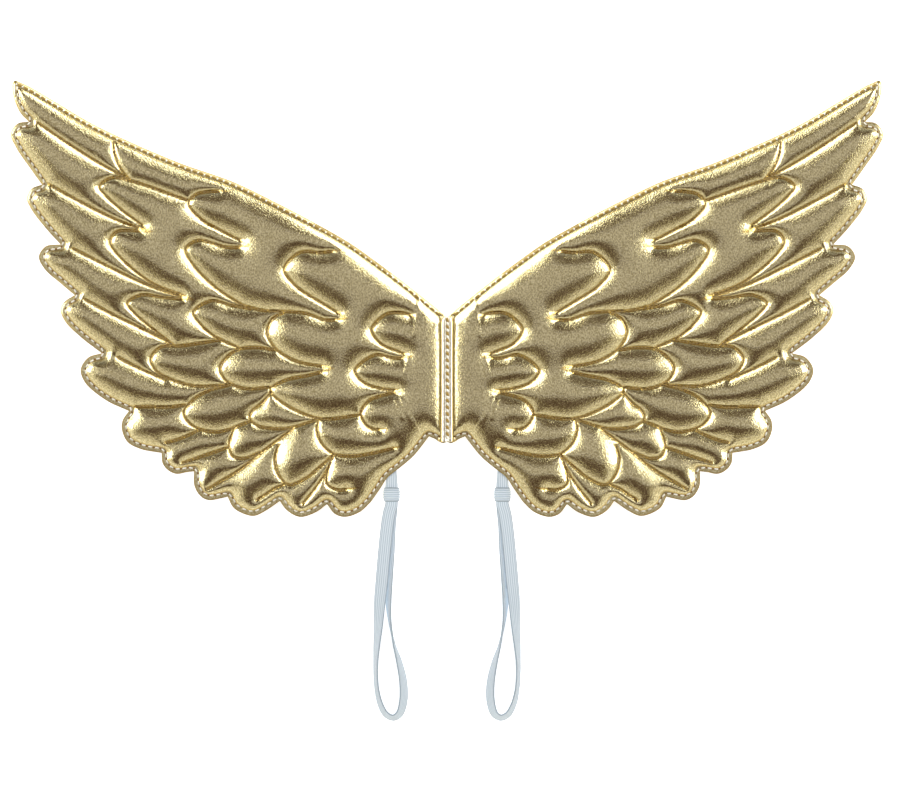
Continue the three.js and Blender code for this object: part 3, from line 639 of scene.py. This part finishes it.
bmesh.ops.recalc_face_normals(bm, faces=bm.faces[:])
finished("spine_band_skin", bm, pale_gold, "gold_band", "spine_band")

stitch_line = np.array([
    (SPINE_ROW_SIDE, band_low.y + SPINE_ROW_INSET), (SPINE_ROW_SIDE, band_high.y - SPINE_ROW_INSET)])
groove_floor = band_high.z - BAND_GROOVE + SPINE_ROW_LIFT
spine_row = stitch_row(stitch_line, lambda stops: [groove_floor] * len(stops), SPINE_SLANT, SPINE_BEADS)
sewn("spine_stitches", spine_row, "gold_band")

# Straps. Flat knitted elastic, one arm loop a side: both ends are sewn behind the wing, pass
# through the keeper, and the loop below it twists and lies on its edge.
KEEPER_DROP = 0.0104
LOOP_DROP = 0.112
LOOP_SWAY = 0.008
STRAND_PITCH = 0.0014
SEWN_REACH = 0.013
ELASTIC_WIDTH = 0.0062
ELASTIC_WALL = 0.0011
ELASTIC_RIBS = 6
RIB_DEPTH = 0.0002
STRAP_STEP = 0.0012
TURN_SHARE = 1e-6
EDGE_CROWD = 1.15
EDGE_START = 0.86
GATHER_RUN = 0.008
GATHER = 0.2
END_ROW_HALF = 0.0026
END_ROW_LOW = 0.004
END_ROW_TOP = 0.0015
END_BEADS = [
    # share of the pitch, size, tone
    (0.25, (0.0010, 0.0006, 0.0005), 0), (0.75, (0.0010, 0.0006, 0.0005), 0),
]
LOOP_ROUTE = [
    # out, drop, turn, level
    (0.00, 0.000, 0, 2.0), (0.00, 0.042, 0, 2.0), (0.16, 0.085, 0, 1.95), (0.31, 0.156, 3, 1.85),
    (0.47, 0.268, 5, 1.95), (0.61, 0.380, 10, 1.95), (0.74, 0.480, 24, 1.15), (0.84, 0.600, 50, 0),
    (0.93, 0.680, 62, 0), (0.98, 0.737, 70, 0), (0.99, 0.800, 73, 0), (0.92, 0.870, 72, 0),
    (0.70, 0.938, 66, 0), (0.35, 0.983, 62, 0), (-0.10, 0.998, 60, 0), (-0.50, 0.980, 56, 0),
    (-0.75, 0.915, 52, 0), (-0.72, 0.835, 56, 0), (-0.48, 0.750, 68, 0), (-0.16, 0.670, 85, 0),
    (0.12, 0.558, 102, 0), (0.20, 0.469, 118, 0), (0.21, 0.357, 140, 0), (0.17, 0.246, 160, 0),
    (0.12, 0.134, 175, 0.5), (0.04, 0.075, 180, 0.95), (0.00, 0.042, 180, 1.0), (0.00, 0.000, 180, 1.0),
]
keeper_low, keeper_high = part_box("keeper_left")
keeper_centre = (keeper_low + keeper_high) / 2
rim_over_strap = keeper_centre.y + KEEPER_DROP
rim_pass = (rim_over_strap + keeper_high.y) / 2
rows = [(keeper_centre.x - out * LOOP_SWAY, keeper_centre.y - drop * LOOP_DROP, turn, level)
        for out, drop, turn, level in LOOP_ROUTE]
ends = [[(row[0], y, row[2], row[3]) for y in (rim_over_strap + SEWN_REACH, rim_pass)]
        for row in (rows[0], rows[-1])]
rows = np.array(ends[0] + rows + ends[1][::-1])
turns = np.radians(rows[:, 2])
rises = ELASTIC_WIDTH / 2 * np.sin(turns) + ELASTIC_WALL / 2 * np.abs(np.cos(turns))
route = np.column_stack([rows[:, :2], rises + rows[:, 3] * STRAND_PITCH, turns * TURN_SHARE])
route = smooth_line(route, STRAP_STEP)

bm = bmesh.new()
run_tone = bm.verts.layers.float.new("run")
across_tone = bm.verts.layers.float.new("across")
profile = bmesh.ops.create_circle(bm, segments=56, radius=1)["verts"]
shares = []
for v in profile:
    # A flat section with round edges and a rib for each bundle of threads, on both faces
    across = math.copysign(1 - (1 - abs(v.co.x)) ** EDGE_CROWD, v.co.x)
    past_start = max(0, (abs(across) - EDGE_START) / (1 - EDGE_START))
    wall = math.sqrt(max(0, 1 - past_start ** 2))
    ribs = RIB_DEPTH * math.sin(across * math.pi * ELASTIC_RIBS / 2) ** 2
    thickness = max(0, ELASTIC_WALL / 2 * wall - ribs)
    shares.append((across * ELASTIC_WIDTH / 2, math.copysign(thickness, v.co.y)))
loop = bm.edges[:]
tangents = np.gradient(route[:, :3], axis=0)
for i, (point, tangent) in enumerate(zip(route, tangents)):
    along = Vector(tangent).normalized()
    outward = along.cross(Vector((0, 0, 1))).normalized()
    lift_way = outward.cross(along)
    turn = point[3] / TURN_SHARE
    wide = outward * math.cos(turn) - lift_way * math.sin(turn)
    thick = lift_way * math.cos(turn) + outward * math.sin(turn)
    narrow = 1 - GATHER * min(1, max(0, (point[1] - keeper_high.y) / GATHER_RUN))
    middle = Vector(point[:3])
    middle.z = max(middle.z, abs(wide.z) * ELASTIC_WIDTH / 2 + abs(thick.z) * ELASTIC_WALL / 2)
    if i:
        grown = bmesh.ops.extrude_edge_only(bm, edges=loop)["geom"]
        loop = [g for g in grown if isinstance(g, bmesh.types.BMEdge)]
        fresh = {v for v in grown if isinstance(v, bmesh.types.BMVert)}
        profile = [next(e.other_vert(v) for e in v.link_edges if e.other_vert(v) in fresh) for v in profile]
    for v, (side, up) in zip(profile, shares):
        v.co = middle + wide * side * narrow + thick * up
        v[run_tone] = i * STRAP_STEP
        v[across_tone] = side
bmesh.ops.holes_fill(bm, edges=[e for e in bm.edges if e.is_boundary])
bmesh.ops.recalc_face_normals(bm, faces=bm.faces[:])

elastic = bpy.data.materials.new("pale_knitted_elastic")
elastic.use_nodes = True
nodes = elastic.node_tree.nodes
join = elastic.node_tree.links.new
skin = nodes["Principled BSDF"]
skin.inputs["Roughness"].default_value = 0.62
skin.inputs["Sheen Weight"].default_value = 0.25
across_read = nodes.new("ShaderNodeAttribute")
across_read.attribute_name = "across"
run_read = nodes.new("ShaderNodeAttribute")
run_read.attribute_name = "run"
knit_place = nodes.new("ShaderNodeCombineXYZ")
join(across_read.outputs["Fac"], knit_place.inputs["X"])
join(run_read.outputs["Fac"], knit_place.inputs["Y"])
knit = nodes.new("ShaderNodeTexWave")
knit.wave_type = "BANDS"
knit.bands_direction = "X"
knit.inputs["Scale"].default_value = 305
knit.inputs["Distortion"].default_value = 0.4
join(knit_place.outputs["Vector"], knit.inputs["Vector"])
knit_tone = nodes.new("ShaderNodeValToRGB")
knit_tone.color_ramp.elements[0].color = (0.44, 0.55, 0.64, 1)
knit_tone.color_ramp.elements[1].color = (0.73, 0.82, 0.90, 1)
join(knit.outputs["Fac"], knit_tone.inputs["Fac"])
from_middle = nodes.new("ShaderNodeMath")
from_middle.operation = "ABSOLUTE"
join(across_read.outputs["Fac"], from_middle.inputs[0])
# Darker blue-grey over the rounded edges of the elastic.
edge_darkening = nodes.new("ShaderNodeMapRange")
edge_darkening.inputs["From Min"].default_value = 0.0024
edge_darkening.inputs["From Max"].default_value = 0.0030
edge_darkening.inputs["To Max"].default_value = 0.7
join(from_middle.outputs["Value"], edge_darkening.inputs["Value"])
edged_tone = nodes.new("ShaderNodeMix")
edged_tone.data_type = "RGBA"
edged_tone.inputs["B"].default_value = (0.30, 0.37, 0.43, 1)
join(edge_darkening.outputs["Result"], edged_tone.inputs["Factor"])
join(knit_tone.outputs["Color"], edged_tone.inputs["A"])
join(edged_tone.outputs["Result"], skin.inputs["Base Color"])
emboss = nodes.new("ShaderNodeBump")
emboss.inputs["Strength"].default_value = 0.4
emboss.inputs["Distance"].default_value = 0.0001
join(knit.outputs["Fac"], emboss.inputs["Height"])
join(emboss.outputs["Normal"], skin.inputs["Normal"])

right_strap = turned_over(bm)
finished("strap_left_elastic", bm, elastic, "pale_elastic", "strap_left")
finished("strap_right_elastic", right_strap, elastic, "pale_elastic", "strap_right")

end_row = []
for y in (rim_over_strap + END_ROW_LOW, rim_over_strap + SEWN_REACH - END_ROW_TOP):
    across_line = np.array([(keeper_centre.x - END_ROW_HALF, y), (keeper_centre.x + END_ROW_HALF, y)])
    end_row += stitch_row(across_line, lambda stops: [STRAND_PITCH] * len(stops), 0, END_BEADS)
sewn("strap_stitches_left", end_row, "pale_elastic")
sewn("strap_stitches_right", other_side(end_row), "pale_elastic")

# Keepers. The same elastic wound flat round both strands and tucked in, a snug ring that
# slides to size the arm loop.
KEEPER_WRAPS = 5
WRAP_DEPTH = 0.00045
WRAP_TONE = 0.95
KEEPER_WALL = 0.00085
KEEPER_SQUARE = 3.2
KEEPER_HOLE = 0.00155
WRAP_LEVELS = 8
WRAP_ROUND = 0.7
WRAP_PROUD = 0.8
KEEPER_TAPER = 0.9
KEEPER_LIP = 0.0004
HOLE_LEVELS = 10
keeper_half = (keeper_high - keeper_low) / 2


def ring_places(count, half_width, half_height, y):
    places = []
    for i in range(count):
        angle = 2 * math.pi * i / count
        x = math.copysign(abs(math.cos(angle)) ** (2 / KEEPER_SQUARE), math.cos(angle))
        z = math.copysign(abs(math.sin(angle)) ** (2 / KEEPER_SQUARE), math.sin(angle))
        places.append(Vector((keeper_centre.x + x * half_width, y, keeper_centre.z + z * half_height)))
    return places


levels = []
for i in range(KEEPER_WRAPS * WRAP_LEVELS + 1):
    share = i / (KEEPER_WRAPS * WRAP_LEVELS)
    bulge = 1 - KEEPER_TAPER * abs(2 * share - 1) ** 4
    wrap = WRAP_DEPTH * abs(math.sin(share * math.pi * KEEPER_WRAPS)) ** WRAP_ROUND - WRAP_DEPTH
    levels.append((KEEPER_WALL * bulge + wrap * WRAP_PROUD, keeper_low.y + share * 2 * keeper_half.y))
hole_step = (2 * keeper_half.y - 2 * KEEPER_LIP) / HOLE_LEVELS
inner = [(0.0, keeper_high.y - KEEPER_LIP - i * hole_step) for i in range(HOLE_LEVELS + 1)]
bm = bmesh.new()
bm.verts.layers.float.new("run")
wrap_tone = bm.verts.layers.float.new("across")
ring = bmesh.ops.create_circle(bm, segments=64, radius=1)["verts"]
loop = bm.edges[:]
first_loop = loop
hole_width = keeper_half.x - KEEPER_WALL
for i, (wall, y) in enumerate(levels + inner):
    if i:
        grown = bmesh.ops.extrude_edge_only(bm, edges=loop)["geom"]
        loop = [g for g in grown if isinstance(g, bmesh.types.BMEdge)]
        fresh = {v for v in grown if isinstance(v, bmesh.types.BMVert)}
        ring = [next(e.other_vert(v) for e in v.link_edges if e.other_vert(v) in fresh) for v in ring]
    tall = KEEPER_HOLE + wall / KEEPER_WALL * (keeper_half.z - KEEPER_HOLE)
    for v, place in zip(ring, ring_places(len(ring), hole_width + wall, tall, y)):
        v.co = place
        v[wrap_tone] = WRAP_TONE * (y - keeper_centre.y)
bmesh.ops.bridge_loops(bm, edges=first_loop + loop)
bmesh.ops.recalc_face_normals(bm, faces=bm.faces[:])
right_keeper = turned_over(bm)
finished("keeper_left_wrap", bm, elastic, "pale_elastic", "keeper_left")
finished("keeper_right_wrap", right_keeper, elastic, "pale_elastic", "keeper_right")

# Studio. White floor, a wide strip light overhead, and a pair of low soft boxes for each wing
# that light it alone, since the picture shows the two wings lit as mirror images. The elastic has
# a box of its own overhead. The camera is straight above the part, as a flat lay is photographed.
FRAME_WIDTH = 0.450
CAMERA_HEIGHT = 2.0
PADS_HEIGHT = 0.006
SENSOR = 0.036
AIM = (0.0015, 0.00225)
SIDE_BOXES = [
    # name, azimuth on the left wing's side, elevation, reach, width, depth, power
    ("box_outer", -75, 21, 3.0, 2.2, 1.7, 70),
    ("box_inner", 56, 21, 3.0, 4.9, 1.7, 150),
]


def soft_box(name, azimuth, elevation, reach, width, depth, power):
    light = bpy.data.lights.new(name, "AREA")
    light.shape = "RECTANGLE"
    light.size = width
    light.size_y = depth
    light.energy = power
    lamp = bpy.data.objects.new(name, light)
    bpy.context.collection.objects.link(lamp)
    turn, tilt = math.radians(azimuth), math.radians(elevation)
    way = Vector((math.sin(turn) * math.cos(tilt), math.cos(turn) * math.cos(tilt), math.sin(tilt)))
    lamp.location = way * reach
    lamp.rotation_euler = way.to_track_quat("Z", "Y").to_euler()
    return lamp


bm = bmesh.new()
bmesh.ops.create_grid(bm, x_segments=1, y_segments=1, size=3)
floor_mesh = bpy.data.meshes.new("floor")
bm.to_mesh(floor_mesh)
bm.free()
floor = bpy.data.objects.new("floor", floor_mesh)
bpy.context.collection.objects.link(floor)
paper = bpy.data.materials.new("white_paper")
paper.use_nodes = True
skin = paper.node_tree.nodes["Principled BSDF"]
skin.inputs["Base Color"].default_value = (0.75, 0.75, 0.75, 1)
skin.inputs["Roughness"].default_value = 0.8
skin.inputs["Emission Color"].default_value = (1, 1, 1, 1)
skin.inputs["Emission Strength"].default_value = 0.75
floor_mesh.materials.append(paper)


def lit_pieces(name, *parts):
    group = bpy.data.collections.new(name)
    for part in parts:
        group.objects.link(bpy.data.objects[part])
    return group


left_lit = lit_pieces("left_lit", "wing_left_skin", "rim_stitches_left", "quilt_stitches_left",
                      "spine_band_skin", "spine_stitches", "floor")
right_lit = lit_pieces("right_lit", "wing_right_skin", "rim_stitches_right", "quilt_stitches_right")
for side, group in ((1, left_lit), (-1, right_lit)):
    for name, azimuth, *rest in SIDE_BOXES:
        soft_box(name, azimuth * side, *rest).light_linking.receiver_collection = group
straps_lit = lit_pieces("straps_lit", "strap_left_elastic", "strap_right_elastic", "keeper_left_wrap",
                        "keeper_right_wrap", "strap_stitches_left", "strap_stitches_right")
soft_box("box_straps", 0, 77, 2.5, 3.0, 2.2, 60).light_linking.receiver_collection = straps_lit
soft_box("box_overhead", 0, 77, 2.5, 5.2, 2.2, 17)

world = bpy.data.worlds.new("studio")
bpy.context.scene.world = world
world.use_nodes = True
nodes = world.node_tree.nodes
join = world.node_tree.links.new
way = nodes.new("ShaderNodeTexCoord")
way_parts = nodes.new("ShaderNodeSeparateXYZ")
join(way.outputs["Generated"], way_parts.inputs["Vector"])


def below(part, full, none):
    # Full strength where this part of the way is small, and none where it is large
    fall = nodes.new("ShaderNodeMapRange")
    fall.interpolation_type = "SMOOTHSTEP"
    fall.inputs["From Min"].default_value = full
    fall.inputs["From Max"].default_value = none
    fall.inputs["To Min"].default_value = 1.0
    fall.inputs["To Max"].default_value = 0.0
    join(way_parts.outputs[part], fall.inputs["Value"])
    return fall.outputs["Result"]


lit_wall = nodes.new("ShaderNodeMath")
lit_wall.operation = "MULTIPLY"
join(below("Z", 0.60, 0.72), lit_wall.inputs[0])
join(below("Y", -0.3, 0.05), lit_wall.inputs[1])
room = nodes.new("ShaderNodeMix")
room.data_type = "RGBA"
room.inputs["B"].default_value = (0.97, 0.90, 0.76, 1)
join(lit_wall.outputs["Value"], room.inputs["Factor"])
dim = nodes.new("ShaderNodeMix")
dim.data_type = "RGBA"
dim.inputs["A"].default_value = (0.105, 0.065, 0.045, 1)
dim.inputs["B"].default_value = (0.36, 0.35, 0.33, 1)
join(below("Z", 0.36, 0.52), dim.inputs["Factor"])
join(dim.outputs["Result"], room.inputs["A"])
join(room.outputs["Result"], nodes["Background"].inputs["Color"])

camera = bpy.data.objects.new("camera", bpy.data.cameras.new("camera"))
bpy.context.collection.objects.link(camera)
camera.location = (*AIM, CAMERA_HEIGHT)
camera.data.lens = MM * SENSOR * (CAMERA_HEIGHT - PADS_HEIGHT) / FRAME_WIDTH
camera.data.sensor_width = MM * SENSOR
bpy.context.scene.camera = camera
bpy.context.scene.view_settings.view_transform = "Standard"
